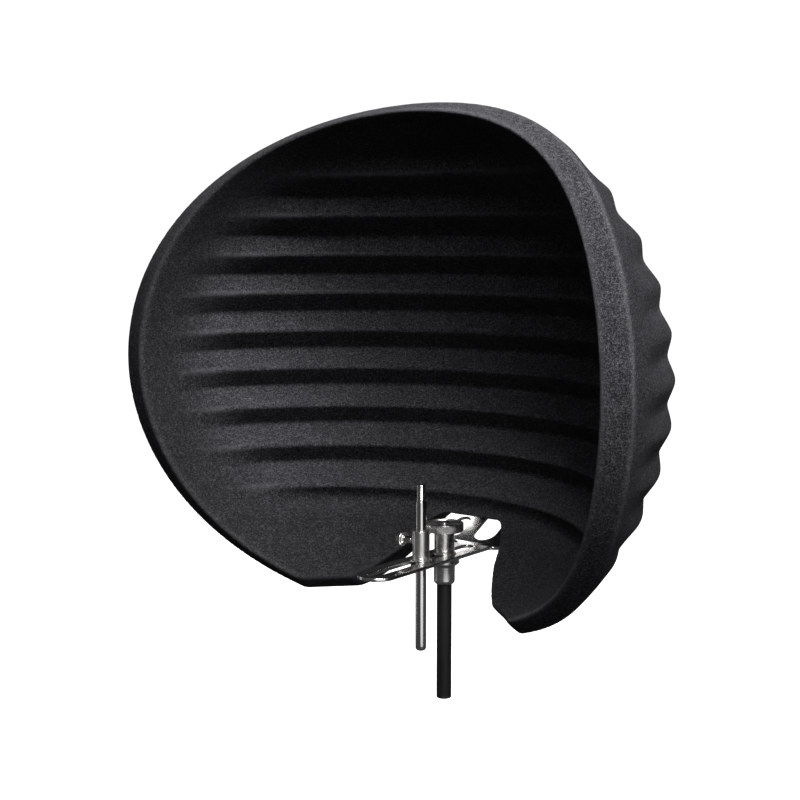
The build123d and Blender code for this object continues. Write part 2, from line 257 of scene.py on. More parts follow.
def felt_material():
    """Pressed black felt: short fibres and soft lumps, with a painted highlight along the ridges and
    painted shade on the outside, the plain rim wall and the left of the rim.
    """
    m = Shader("felt_black")
    warp = m.noise(55.0, 2.0)
    fibre_a = m.noise(360.0, 3.0, 0.8, m.scaled((1.0, 1.0, 2.6)), 1.2)
    fibre_b = m.noise(360.0, 3.0, 0.8, m.scaled((2.4, 1.7, 1.0)), 1.2)
    fibres = m.math("MAXIMUM", fibre_a, fibre_b)
    specks = m.noise(1500.0, 2.0, 0.6)
    lumps = m.noise(38.0, 3.0, 0.5)
    tone = m.math("ADD", m.math("MULTIPLY", fibres, 0.72), m.math("MULTIPLY", specks, 0.28))
    colour = m.ramp(tone, (0.43, (0.004, 0.004, 0.005)), (0.53, (0.021, 0.0205, 0.023)),
                    (0.62, (0.125, 0.123, 0.134)))
    colour = m.mix(m.span(lumps, 0.3, 0.7, 0.0, 0.3), colour, (0.010, 0.010, 0.012))
    # Painted shade: a darker colour on the outside, on the plain wall by the rim and on the left of the
    # rim.
    colour = m.mix(m.math("MULTIPLY", m.attribute("painted_shade"), 0.5), colour, (0.003, 0.003, 0.0035))
    # Painted highlight: a paler colour along the rim's inner edge, the crease, the inner rib crests and the
    # notch edge.
    painted_highlight = m.math("MULTIPLY", m.attribute("painted_highlight"), m.span(warp, 0.2, 0.8, 0.6, 1.0))
    colour = m.mix(m.math("MULTIPLY", painted_highlight, 0.5), colour, (0.12, 0.118, 0.128))
    m.link(colour, m.bsdf.inputs["Base Color"])
    m.link(m.span(tone, 0.3, 0.7, 1.0, 0.86), m.bsdf.inputs["Roughness"])
    m.set(Sheen_Weight=0.012, Sheen_Roughness=0.6, Specular_IOR_Level=0.08)
    m.bsdf.inputs["Sheen Tint"].default_value = (0.62, 0.62, 0.72, 1.0)
    soft = m.bump(lumps, 1.6, 0.35)
    m.bump(tone, 1.1, 0.85, soft)
    return m.material


def steel_material(name, colour, rough, grain, turned=0.0, axis="Z"):
    """Stainless steel with fine drawn or turned lines, small scratches and smudges."""
    m = Shader(name)
    lines = m.noise(1.0, 3.0, 0.7, m.scaled(grain))
    smudge = m.noise(85.0, 3.0, 0.6)
    scratch = m.noise(1.0, 1.0, 0.5, m.scaled((grain[2] * 2.0, grain[0] * 0.6, grain[1] * 0.6)))
    dark = tuple(c * 0.93 for c in colour)
    m.link(m.mix(m.span(lines, 0.3, 0.7), dark, colour), m.bsdf.inputs["Base Color"])
    finish = m.math("ADD", m.span(lines, 0.3, 0.7, rough * 0.88, rough * 1.1),
                    m.span(smudge, 0.4, 0.8, 0.0, rough * 0.25))
    m.link(m.math("ADD", finish, m.span(scratch, 0.66, 0.74, 0.0, 0.03)), m.bsdf.inputs["Roughness"])
    m.set(Metallic=1.0, Anisotropic=turned)
    m.bump(lines, 0.003, 0.2)
    if turned:
        m.radial_tangent(axis)
    return m.material


def painted_material():
    """Black powder coat on the post, with a slight orange peel."""
    m = Shader("post_coat_black")
    peel = m.noise(900.0, 3.0, 0.5)
    wear = m.noise(40.0, 4.0, 0.6)
    colour = m.ramp(wear, (0.3, (0.006, 0.006, 0.0065)), (0.7, (0.010, 0.010, 0.0105)))
    m.link(colour, m.bsdf.inputs["Base Color"])
    m.link(m.span(wear, 0.3, 0.7, 0.5, 0.62), m.bsdf.inputs["Roughness"])
    m.set(Specular_IOR_Level=0.35)
    m.bump(peel, 0.06, 0.5)
    return m.material


def plastic_material(name, colour, rough):
    """Moulded nylon or rubber with a fine mould texture."""
    m = Shader(name)
    grain = m.noise(1300.0, 2.0, 0.5)
    cloud = m.noise(70.0, 3.0, 0.5)
    pale = tuple(c * 1.6 + 0.004 for c in colour)
    m.link(m.mix(m.span(cloud, 0.3, 0.7), colour, pale), m.bsdf.inputs["Base Color"])
    m.link(m.span(grain, 0.3, 0.7, rough * 0.85, min(rough * 1.15, 1.0)), m.bsdf.inputs["Roughness"])
    m.bump(grain, 0.05, 0.4)
    return m.material


def brass_material():
    """Plain brass with a light tarnish."""
    m = Shader("brass_plain")
    tarnish = m.noise(160.0, 4.0, 0.6)
    colour = m.ramp(tarnish, (0.3, (0.42, 0.27, 0.09)), (0.7, (0.72, 0.52, 0.22)))
    m.link(colour, m.bsdf.inputs["Base Color"])
    m.link(m.span(tarnish, 0.3, 0.7, 0.42, 0.25), m.bsdf.inputs["Roughness"])
    m.set(Metallic=1.0)
    m.bump(tarnish, 0.03, 0.3)
    return m.material


STEEL = (0.66, 0.645, 0.63)
FELT = felt_material()
PLATE = steel_material("steel_plate", STEEL, 0.2, (900.0, 26.0, 900.0))
ROD = steel_material("steel_rod", STEEL, 0.13, (1200.0, 1200.0, 60.0))
TURNED = steel_material("steel_turned", STEEL, 0.26, (90.0, 90.0, 2600.0), 0.55)
TURNED_X = steel_material("steel_turned_side", STEEL, 0.2, (2600.0, 90.0, 90.0), 0.55, "X")
SCREW = steel_material("steel_fastener", (0.56, 0.55, 0.54), 0.26, (700.0, 700.0, 700.0))
COAT = painted_material()
NYLON = plastic_material("nylon_black_moulded", (0.012, 0.012, 0.013), 0.45)
RUBBER = plastic_material("rubber_black_soft", (0.016, 0.016, 0.016), 0.8)
BRASS = brass_material()


# ------------------------------------------------------------------ felt bowl

def rounded_and(a, b, radius):
    """Space inside both fields, with the edge between them rounded."""
    u = np.maximum(a + radius, 0)
    v = np.maximum(b + radius, 0)
    return np.minimum(-radius, np.maximum(a, b)) + np.sqrt(u * u + v * v)


def rounded_or(a, b, radius):
    """Space inside either field, with the hollow between them rounded."""
    return -rounded_and(-a, -b, radius)


def rib_wave(z):
    """+1 on a rib's crest and -1 in the groove beside it, with nearly flat flanks."""
    return np.arcsin(RIB_CREST * np.cos(2 * np.pi * (z - RIB_Z) / RIB_PITCH)) / math.asin(RIB_CREST)


def inner_wave(z):
    """The ribs inside: -1 on each crisp inward ridge and +1 in the crisp hollow between two."""
    return np.arcsin(INNER_CREST * np.cos(2 * np.pi * (z - RIB_Z) / RIB_PITCH)) / math.asin(INNER_CREST)


def inner_depth(z):
    """The ribs inside are shallower at the top of the bowl than at its bottom."""
    top, bottom = RIB_DEPTH_INSIDE
    return bottom + (top - bottom) * smoothstep(60, 290, z)


def rib_share(z):
    """Ribs fade out near the crown and in the two lobes."""
    return smoothstep(14, 50, z) * (1 - smoothstep(372, 404, z))


def front_line(z, middle, reach, base, square, fourth):
    """Place along Y of one of the rim's two edges."""
    t = (z - middle) / reach
    return base + square * t * t + fourth * t ** 4


def smooth_curve(points, steps=24):
    """Catmull-Rom curve through points."""
    p = np.asarray(points, float)
    p = np.vstack([2 * p[0] - p[1], p, 2 * p[-1] - p[-2]])
    t = np.linspace(0, 1, steps, endpoint=False)[:, None]
    rows = []
    for a, b, c, d in zip(p, p[1:], p[2:], p[3:]):
        rows.append(0.5 * (2 * b + (c - a) * t + (2 * a - 5 * b + 4 * c - d) * t ** 2
                           + (3 * b - a - 3 * c + d) * t ** 3))
    return np.vstack(rows + [p[-2:-1]])


NOTCH_CURVE = smooth_curve(NOTCH_WIDTH)[::-1]
NOTCH_SLOPE = np.gradient(NOTCH_CURVE[:, 1], NOTCH_CURVE[:, 0])


def notch_field(x, z, share):
    """Distance to the notch: negative in it. Its wall leans, so the lobes end higher on the inside."""
    z = z - LOBE_LEAN * (1 - share) * smoothstep(-2, -29, z)
    width = np.interp(z, NOTCH_CURVE[:, 0], NOTCH_CURVE[:, 1])
    slope = np.interp(z, NOTCH_CURVE[:, 0], NOTCH_SLOPE)
    below = np.maximum(NOTCH_CURVE[0, 0] - z, 0)
    side = (np.abs(x) - width) / np.sqrt(1 + slope * slope) - below
    return rounded_and(side, z - NOTCH_TOP, NOTCH_CORNER)


def seat_field(x, y, z):
    """Distance to the moulded seat behind the bowl that takes the bracket's flange."""
    foot_y = SLOPE_END_Y
    foot_z = (SLOPE_END_Y - BEND_Y) * math.tan(SLOPE_ANGLE)
    along = (y - foot_y) * math.cos(FLANGE_ANGLE) + (z - foot_z) * math.sin(FLANGE_ANGLE)
    into = -(y - foot_y) * math.sin(FLANGE_ANGLE) + (z - foot_z) * math.cos(FLANGE_ANGLE)
    side = rounded_and(np.abs(x) - 58.0, np.abs(along - 58.0) - 35.0, PLATE_CORNER)
    return rounded_and(side, np.maximum(-into, into - 34.0), 2.5)


def bowl_fields(x, y, z):
    """Fields of the bowl's outside, inside and front, the way behind the front, and how far a point
    is through the wall, from 0 inside to 1 outside."""
    dy = y - BOWL_Y
    dz = z - BOWL_Z
    u = np.clip((x / OUTER[0]) ** 2, 0, 1)
    square = np.where(dz < 0, SQUARE_LOW, SQUARE_HIGH) * smoothstep(20, 120, np.abs(dz))
    dz = dz * (1 - 4 * u * (1 - u) * square)
    half = np.where(dz < 0, OUTER_LOW, OUTER[2])
    k = np.sqrt((x / OUTER[0]) ** 2 + (dy / OUTER[1]) ** 2 + (dz / half) ** 2) + 1e-9
    pull = np.sqrt((x / OUTER[0] ** 2) ** 2 + (dy / OUTER[1] ** 2) ** 2 + (dz / half ** 2) ** 2) + 1e-9
    outside = k * (k - 1) / pull
    flat = 1 - INNER_FLATTEN * np.minimum((dz / FLATTEN_AT) ** 2, 1.7)
    k = np.sqrt((x * x + (dy / flat) ** 2) / INNER_HALF ** 2 + (dz / INNER_RISE) ** 2) + 1e-9
    pull = np.sqrt((x / INNER_HALF ** 2) ** 2 + (dy / (flat * INNER_HALF) ** 2) ** 2
                   + (dz / INNER_RISE ** 2) ** 2) + 1e-9
    inside = k * (k - 1) / pull
    share = np.clip(inside / np.maximum(inside - outside, 1.0), 0, 1)
    middle, reach, base, square, fourth = CREASE_LINE
    ridge = front_line(z, *RIDGE_LINE)
    crease = front_line(z, middle, reach, base, square, np.where(z < middle, CREASE_FOURTH_LOW, fourth))
    lean = (2 * 80.0 * np.abs(z - middle) / reach ** 2) ** 2
    front = (ridge + (crease - ridge) * share - y) / np.sqrt(1 + lean + 0.06)
    behind = -front
    return outside, inside, front, behind, share


def felt_field(x, y, z):
    """Distance to the felt bowl's surface: negative in the felt."""
    outside, inside, front, behind, share = bowl_fields(x, y, z)
    crown = rib_share(z)
    outer_share = smoothstep(4, 62, behind)
    inner_share = smoothstep(24, 118, behind)
    outside = outside - RIB_DEPTH * 0.5 * (rib_wave(z) - 1) * crown * outer_share
    inside = inside - inner_depth(z) * 0.5 * (inner_wave(z) + 0.1) * crown * inner_share
    body = rounded_or(outside, seat_field(x, y, z), 7.0)
    body = rounded_and(body, front, CREASE_ROUND)
    body = rounded_and(body, -inside, RIDGE_ROUND)
    return rounded_and(body, -notch_field(x, z, share), NOTCH_ROUND)


def surface_net(field, low, high, step):
    """Quads over the grid cubes where a field changes sign, as points and faces."""
    low = np.asarray(low, float)
    size = [int(math.ceil((b - a) / step)) + 1 for a, b in zip(low, high)]
    axes = [low[i] + step * np.arange(size[i]) for i in range(3)]
    value = field(*np.meshgrid(*axes, indexing="ij", sparse=True))
    within = value < 0
    cells = tuple(n - 1 for n in size)
    count = np.zeros(cells, np.int8)
    for corner in np.ndindex(2, 2, 2):
        count += within[tuple(slice(c, c + n) for c, n in zip(corner, cells))]
    active = (count > 0) & (count < 8)
    at = np.argwhere(active)
    number = np.full(cells, -1, np.int64)
    number[active] = np.arange(len(at))
    total = np.zeros((len(at), 3))
    hits = np.zeros(len(at))
    for axis in range(3):
        unit = np.eye(3, dtype=int)[axis]
        for offset in np.ndindex(*[1 if i == axis else 2 for i in range(3)]):
            a = value[tuple((at + offset).T)]
            b = value[tuple((at + offset + unit).T)]
            cross = (a < 0) != (b < 0)
            t = np.where(cross, a / np.where(cross, a - b, 1), 0)
            total[cross] += np.asarray(offset) + np.outer(t[cross], unit)
            hits[cross] += 1
    points = low + step * (at + total / hits[:, None])
    faces = []
    for axis in range(3):
        b, c = (axis + 1) % 3, (axis + 2) % 3
        start = [slice(0, n) for n in size]
        for i in (b, c):
            start[i] = slice(1, size[i] - 1)
        stop = list(start)
        start[axis] = slice(0, size[axis] - 1)
        stop[axis] = slice(1, size[axis])
        first = within[tuple(start)]
        edge = np.argwhere(first != within[tuple(stop)])
        outward = first[tuple(edge.T)]
        shift = np.zeros(3, int)
        shift[b] = shift[c] = 1
        edge = edge + shift
        corners = []
        for db, dc in ((1, 1), (0, 1), (0, 0), (1, 0)):
            back = np.zeros(3, int)
            back[b], back[c] = db, dc
            corners.append(number[tuple((edge - back).T)])
        quads = np.stack(corners, 1)
        quads[~outward] = quads[~outward][:, ::-1]
        faces.append(quads)
    return points, np.concatenate(faces)


def settle(field, points, reach):
    """Moves points onto the field's zero surface."""
    small = 0.25
    for _ in range(3):
        value = field(*points.T)
        slope = np.stack([field(*(points + small * d).T) - field(*(points - small * d).T)
                          for d in np.eye(3)], 1) / (2 * small)
        move = -slope * (value / np.maximum((slope ** 2).sum(1), 0.05))[:, None]
        points = points + np.clip(move, -reach, reach)
    return points


def felt_bowl():
    """The whole moulded bowl: ribbed dome, bevelled rim, notch walls and flange seat."""
    low = (-293.0, -163.0, RIB_Z - RIB_PITCH * 7.25 + SHELL_STEP / 2)
    high = (293.0, 141.0, 440.0)
    points, faces = surface_net(felt_field, low, high, SHELL_STEP)
    points = settle(felt_field, points, SHELL_STEP * 0.5)
    bowl = mesh_object("felt_bowl", points, faces, 0.0)
    outside, inside, front, behind, share = bowl_fields(*points.T)
    # Painted highlight along the rim's inner edge, paler towards the right where the light falls, and along
    # the crease, the inner rib crests and the notch edge.
    rim = np.exp(-(inside / 4.5) ** 2 - (front / 5.0) ** 2)
    rim *= 0.25 + 0.75 * smoothstep(-160, 60, points[:, 0])
    crease = 0.55 * np.exp(-(outside / 2.0) ** 2 - (front / 2.5) ** 2)
    crest = smoothstep(0.55, 0.95, -inner_wave(points[:, 2])) * rib_share(points[:, 2])
    crest = 0.7 * crest * smoothstep(22, 96, behind) * (np.abs(inside) < 6)
    notch = 0.35 * np.exp(-(notch_field(points[:, 0], points[:, 2], share) / 3.5) ** 2)
    painted_highlight = np.clip(np.maximum.reduce([rim, crease, crest, notch]), 0, 1)
    # Painted shade: the outside, the plain wall near the rim and the left part of the rim get a darker
    # colour.
    ribbed = rib_share(points[:, 2]) * smoothstep(24, 118, behind)
    painted_shade = np.where(outside > -4, 0.9, 1 - ribbed) * smoothstep(0, 8, behind)
    painted_shade = np.maximum(painted_shade, 0.9 * smoothstep(60, -160, points[:, 0]) * smoothstep(8, 0, behind))
    for layer_name, values in (("painted_highlight", painted_highlight), ("painted_shade", painted_shade)):
        layer = bowl.data.attributes.new(layer_name, "FLOAT", "POINT")
        layer.data.foreach_set("value", values.astype(np.float32))
    return bowl


dress(felt_bowl(), "screen", FELT, "felt", "filter_shell")


# ------------------------------------------------------------------ turned parts

def soften(points, radius, steps=3):
    """Rounds every corner of an open outline."""
    out = [Vector(points[0])]
    for before, here, after in zip(points, points[1:], points[2:]):
        here = Vector(here)
        a, b = Vector(before) - here, Vector(after) - here
        cut = min(radius, a.length * 0.45, b.length * 0.45)
        start, stop = here + a.normalized() * cut, here + b.normalized() * cut
        for i in range(steps + 1):
            t = i / steps
            out.append(start * (1 - t) ** 2 + here * 2 * t * (1 - t) + stop * t * t)
    out.append(Vector(points[-1]))
    return out


def lathe(name, outline, segments=96, place=(0.0, 0.0), radius_at=None):
    """Turns an outline of (radius, height) round an upright axis. radius_at may shape each angle."""
    rows = [(p[0], p[1]) for p in outline]
    points, faces = [], []
    closed = rows[0] == rows[-1]
    if closed:
        rows = rows[:-1]
    for j in range(segments):
        angle = 2 * math.pi * j / segments
        for radius, height in rows:
            r = radius_at(radius, height, angle) if radius_at else radius
            points.append((place[0] + r * math.cos(angle), place[1] + r * math.sin(angle), height))
    n = len(rows)
    spans = n if closed else n - 1
    for j in range(segments):
        k = (j + 1) % segments
        for i in range(spans):
            h = (i + 1) % n
            faces.append((j * n + i, k * n + i, k * n + h, j * n + h))
    piece = mesh_object(name, points, faces, 50.0)
    merge = bmesh.new()
    merge.from_mesh(piece.data)
    bmesh.ops.remove_doubles(merge, verts=merge.verts, dist=0.002 * MM)
    bmesh.ops.recalc_face_normals(merge, faces=merge.faces)
    merge.to_mesh(piece.data)
    merge.free()
    return piece


def turned(name, outline, soft=0.4, **more):
    """A solid of revolution from an outline that starts and ends on the axis."""
    return lathe(name, soften(outline, soft), **more)


def tube(name, outer, bore, low, high, soft=0.4, **more):
    """A ring or sleeve with softened rims."""
    middle = (low + high) / 2
    outline = [(bore, middle), (bore, low), (outer, low), (outer, high), (bore, high), (bore, middle)]
    return lathe(name, soften(outline, soft), **more)


def turn_to_x(piece, origin):
    """Lays an upright piece along -X, with its base at the origin."""
    spin = Matrix.Rotation(math.radians(-90), 4, "Y")
    shift = Matrix.Translation(Vector((origin[0], origin[1], origin[2] + BAR_TOP)) * MM)
    back = Matrix.Translation((0, 0, -BAR_TOP * MM))
    piece.data.transform(shift @ spin @ back)
    return piece


def drilled(piece, tool):
    """Cuts a tool out of a piece, and leaves a plain mesh."""
    cut = piece.modifiers.new("drill", "BOOLEAN")
    cut.operation = "DIFFERENCE"
    cut.solver = "EXACT"
    cut.object = tool
    bpy.context.view_layer.update()
    mesh = bpy.data.meshes.new_from_object(piece.evaluated_get(bpy.context.evaluated_depsgraph_get()))
    piece.modifiers.clear()
    piece.data = mesh
    bpy.data.objects.remove(tool)
    mesh.polygons.foreach_set("use_smooth", [True] * len(mesh.polygons))
    mesh.set_sharp_from_angle(angle=math.radians(50.0))


# hand wheel: a disc with a fine straight knurl and a shallow turned dish
def knurl(teeth, depth, outer, low, high):
    """Radius rule for straight teeth round a rim."""
    def rule(radius, height, angle):
        if radius < outer - 0.05 or not low < height < high:
            return radius
        return radius - depth * (0.5 + 0.5 * math.cos(teeth * angle))
    return rule


wheel_outline = soften([(2.66, 27.2), (2.66, 28.9), (4.2, 29.2), (15.9, 29.2), (16.6, 30.6), (18.75, 30.6),
                        (18.75, 22.6), (9.0, 22.6), (2.66, 22.6), (2.66, 27.2)], 0.5)
rim = [(18.75, z) for z in np.linspace(29.6, 23.6, 7)]
corner = max(i for i, p in enumerate(wheel_outline) if abs(p[0] - 18.75) < 0.02 and p[1] > 29)
wheel_outline = wheel_outline[:corner + 1] + rim + wheel_outline[corner + 1:]
wheel = lathe("hand_wheel_disc", wheel_outline, 480, (0.0, 0.0), knurl(120, 0.22, 18.75, 23.2, 30.0))
dress(wheel, "hand_wheel", TURNED, "steel_polished", "clamp_wheel")

cap = turned("hand_wheel_cap",
             [(0, 27.3), (2.6, 27.3), (2.6, 30.1), (1.5, 30.75), (0.9, 30.5), (0, 30.4)], 0.5, segments=64)
dress(cap, "hand_wheel", TURNED, "steel_polished", "wheel_cap")

neck = turned("hand_wheel_neck", [(0, 1.2), (10, 1.2), (10, 3.4), (9.75, 3.6), (9.75, 4.0), (10, 4.2),
                                  (10, 22.55), (4.2, 22.55), (4.2, 16.1), (0, 16.1)], 0.35)
dress(neck, "hand_wheel", TURNED, "steel_polished", "wheel_neck")

washer = tube("hand_wheel_washer", 11.5, 4.1, 0.06, 1.05, 0.3)
dress(washer, "clamp_washer", SCREW, "steel_polished", "wheel_washer")


def thread_rule(crest, root, pitch, low, high):
    """Radius rule for a real helical thread between two heights."""
    def rule(radius, height, angle):
        if radius < crest - 0.05 or not low < height < high:
            return radius
        phase = ((height - low) / pitch - angle / (2 * math.pi)) % 1.0
        wave = min(max((0.5 - abs(phase - 0.5)) * 3.2 - 0.25, 0.0), 1.0)
        fade = min((height - low) / pitch, (high - height) / pitch, 1.0)
        return crest - (crest - root) * wave * fade
    return rule


def threaded(name, outline_low, outline_high, crest, root, pitch, low, high, soft, **more):
    """A turned piece whose outline has a threaded run in the middle."""
    rows = max(int((high - low) / pitch * 8), 8)
    run = [(crest, low + (high - low) * i / rows) for i in range(rows + 1)]
    outline = soften(outline_low, soft) + run + soften(outline_high, soft)
    return lathe(name, outline, radius_at=thread_rule(crest, root, pitch, low, high), **more)


stud = threaded("clamp_stud_thread", [(0, -17.0), (3.2, -17.0), (4.0, -16.2), (4.0, -15.6)],
                [(4.0, 15.0), (4.0, 15.95), (0, 15.95)], 4.0, 3.35, 1.25, -15.4, 14.9, 0.2, segments=64)
dress(stud, "hand_wheel", SCREW, "steel_screw", "clamp_stud")

# microphone rod with its 3/8 inch thread of 16 turns to the inch
MIC_THREAD = 4.7625
MIC_PITCH = 25.4 / 16
rod = threaded("mic_rod_threaded",
               [(0, -89.0), (2.8, -89.0), (4.3, -88.3), (5.2, -86.7), (5.3, -84.0), (5.3, 20.0),
                (5.3, 57.2), (4.95, 57.5), (4.7, 57.6), (4.7, 58.0), (MIC_THREAD, 58.2)],
               [(MIC_THREAD, 73.0), (3.9, 73.9), (2.4, 74.0), (0, 74.0)],
               MIC_THREAD, 4.35, MIC_PITCH, 58.3, 72.9, 0.25, segments=96, place=(0.0, ROD_Y))
dress(rod, "rod", ROD, "steel_polished", "mic_rod")

# collar, its foot washer and the nut under the bar
collar = lathe("rod_collar_sleeve",
               soften([(5.36, 5.0), (5.36, -7.1), (6.1, -7.1), (6.1, 1.1), (8.4, 1.1), (8.4, 2.9),
                       (8.2, 3.1), (8.2, 3.5), (8.4, 3.7), (8.4, 27.7), (8.25, 27.9), (8.8, 28.1),
                       (8.8, 29.5), (5.36, 29.5), (5.36, 5.0)], 0.3), place=(0.0, ROD_Y))
drill = turned("collar_drill", [(0, 0.0), (2.62, 0.0), (2.62, 5.0), (0, 5.0)], 0.0, segments=48)
turn_to_x(drill, (-4.6, ROD_Y, THUMB_Z))
drilled(collar, drill)
dress(collar, "collar", TURNED, "steel_polished", "rod_collar")
foot = tube("collar_foot_ring", 10.5, 6.15, 0.05, 1.05, 0.3, place=(0.0, ROD_Y))
dress(foot, "carriage", TURNED, "steel_polished", "collar_foot_washer")
nut = lathe("collar_ring_nut",
            soften([(6.12, -5.0), (6.12, -6.6), (10.0, -6.6), (10.0, -3.6), (6.12, -3.6), (6.12, -5.0)],
                   0.35), 192, (0.0, ROD_Y), knurl(48, 0.2, 10.0, -6.3, -3.9))
dress(nut, "collar", TURNED, "steel_polished", "ring_nut")

# thumb screw: shank and a mushroom knob, built upright and laid along -X
shank = threaded("thumb_screw_shank_thread", [(0, 0.0), (2.1, 0.0), (2.5, 0.4), (2.5, 0.6)],
                 [(2.5, 3.5), (2.5, 3.95), (3.1, 4.4), (3.35, 9.0), (3.5, 13.8), (0, 13.8)],
                 2.5, 2.1, 0.8, 0.6, 3.4, 0.3, segments=64)
turn_to_x(shank, (-6.65, ROD_Y, THUMB_Z))
dress(shank, "thumb_screw", ROD, "steel_polished", "thumb_screw_shank")
knob = lathe("thumb_screw_knob_turned",
             soften([(0, 1.2), (3.55, 1.2), (3.55, 0.0), (4.4, 0.0), (5.0, 0.9), (6.6, 1.2), (7.2, 2.2),
                     (7.2, 4.6), (6.9, 5.6), (5.6, 6.5), (3.2, 6.9), (0, 7.0)], 0.5),
             240, (0.0, 0.0), knurl(40, 0.22, 7.2, 1.8, 5.2))
turn_to_x(knob, (-19.5, ROD_Y, THUMB_Z))
dress(knob, "thumb_screw", TURNED_X, "steel_polished", "thumb_screw_knob")

# adaptor under the bar, its gasket and the post
adaptor = turned("stand_adaptor_turned",
                 [(0, -8.0), (4.05, -8.0), (4.05, -4.25), (14.5, -4.25), (15.0, -4.8), (15.0, -8.9),
                  (14.6, -9.4), (10.5, -12.4), (10.5, -26.8), (10.1, -28.6), (8.9, -30.0),
                  (4.81, -30.0), (4.81, -23.5), (0, -23.5)], 0.35)
dress(adaptor, "stand", TURNED, "steel_polished", "stand_adaptor")
gasket = tube("flange_gasket_ring", 14.0, 5.0, -4.25, -3.55, 0.2)
dress(gasket, "stand", RUBBER, "rubber_black", "flange_gasket")
post = lathe("stand_post_tube",
             soften([(5.9, -60.0), (5.9, -146.0), (7.0, -146.0), (7.4, -145.6), (7.4, -143.9),
                     (7.15, -143.7), (7.15, -143.3), (7.4, -143.1), (7.4, -30.5), (7.1, -30.05),
                     (5.9, -30.05), (5.9, -60.0)], 0.2), 96)
dress(post, "stand", COAT, "post_black", "stand_post")
plug = turned("post_end_plug_moulded",
              [(0, -145.7), (3.6, -145.7), (4.2, -145.2), (5.0, -145.7), (5.85, -145.7), (5.85, -134.0),
               (4.4, -134.0), (4.4, -144.0), (0, -144.0)], 0.3)
dress(plug, "stand", NYLON, "nylon_black", "post_end_plug")


# ------------------------------------------------------------------ bracket

SLOPE_LENGTH = (SLOPE_END_Y - BEND_Y) / math.cos(SLOPE_ANGLE)
BEND_TURNS = (SLOPE_ANGLE, FLANGE_ANGLE - SLOPE_ANGLE)


def bent_runs():
    """The bracket's side line as runs of (start, length, place, heading, turn)."""
    cuts = [BEND_RADIUS * math.tan(turn / 2) for turn in BEND_TURNS]
    straights = [BEND_Y - BAR_FRONT - cuts[0], SLOPE_LENGTH - sum(cuts), FLANGE_LENGTH - cuts[1]]
    runs, s, place, heading = [], BAR_FRONT, Vector((BAR_FRONT, 0.0)), 0.0
    for index, length in enumerate(straights):
        runs.append((s, length, place.copy(), heading, 0.0))
        place += length * Vector((math.cos(heading), math.sin(heading)))
        s += length
        if index < 2:
            turn = BEND_TURNS[index]
            runs.append((s, BEND_RADIUS * turn, place.copy(), heading, turn))
            chord = 2 * BEND_RADIUS * math.sin(turn / 2)
            place += chord * Vector((math.cos(heading + turn / 2), math.sin(heading + turn / 2)))
            heading += turn
            s += BEND_RADIUS * turn
    return runs


RUNS = bent_runs()
BEND_TWO = RUNS[3]


def bend(x, s, height):
    """Where a point of the flat sheet goes, height being measured up from the sheet's lower face."""
    passed = [run for run in RUNS if run[0] <= s + 1e-6]
    start, length, place, heading, turn = passed[-1] if s > BAR_FRONT else RUNS[0]
    ahead = s - start
    if turn:
        angle = turn * min(ahead / length, 1.0)
        local = BEND_RADIUS * Vector((math.sin(angle), 1 - math.cos(angle)))
    else:
        angle = 0.0
        local = Vector((ahead, 0.0))
    c, d = math.cos(heading), math.sin(heading)
    top = place + Vector((local.x * c - local.y * d, local.x * d + local.y * c))
    up = Vector((-math.sin(heading + angle), math.cos(heading + angle)))
    spot = top + up * (height - SHEET)
    return (x, spot.x, spot.y)


def arc(cx, cy, radius, start, stop, steps=20):
    """Points along a circle's arc, in degrees."""
    angles = [math.radians(start + (stop - start) * i / steps) for i in range(steps + 1)]
    return [(cx + radius * math.cos(a), cy + radius * math.sin(a)) for a in angles]


def stadium_line(cx, cy, width, length):
    """Outline of a round-ended opening along the sheet."""
    r, straight = width / 2, (length - width) / 2
    return arc(cx, cy + straight, r, 0, 180) + arc(cx, cy - straight, r, 180, 360)


def bracket_outlines():
    """The flat sheet's outer line, its slot, its three openings and its screw holes."""
    nose = BAR_FRONT + BAR_HALF
    end = RUNS[4][0] + RUNS[4][1]
    slope_start = RUNS[1][0] + RUNS[1][1] - BEND_RADIUS * math.tan(SLOPE_ANGLE / 2)
    flange_start = BEND_TWO[0] + BEND_TWO[1] - BEND_RADIUS * math.tan(BEND_TURNS[1] / 2)
    plate = [(BAR_HALF, FLARE_Y[0] - 3), (BAR_HALF + 1.2, FLARE_Y[0] + 1.2),
             (FLARE_HALF - 3.5, FLARE_Y[1] - 0.4), (FLARE_HALF, FLARE_Y[1] + 4)]
    right = plate + arc(FLARE_HALF - PLATE_CORNER, end - PLATE_CORNER, PLATE_CORNER, 0, 90, 8)
    left = [(-x, y) for x, y in reversed(right)]
    outlines = [right + left + arc(0, nose, BAR_HALF, 180, 360, 40)]
    outlines.append(stadium_line(0, (SLOT_FRONT + SLOT_BACK) / 2, SLOT_WIDTH, SLOT_BACK - SLOT_FRONT))
    outlines.append(stadium_line(0, slope_start + SLOPE_LENGTH / 2, *STADIUM))
    for x in (-SIDE_STADIUM_X, SIDE_STADIUM_X):
        outlines.append(stadium_line(x, slope_start + SLOPE_LENGTH / 2 - SIDE_STADIUM_LOWER, *SIDE_STADIUM))
    for x, y in SCREW_SPOTS:
        outlines.append(arc(x, flange_start + y, SCREW_HOLE, 0, 345, 23))
    return outlines


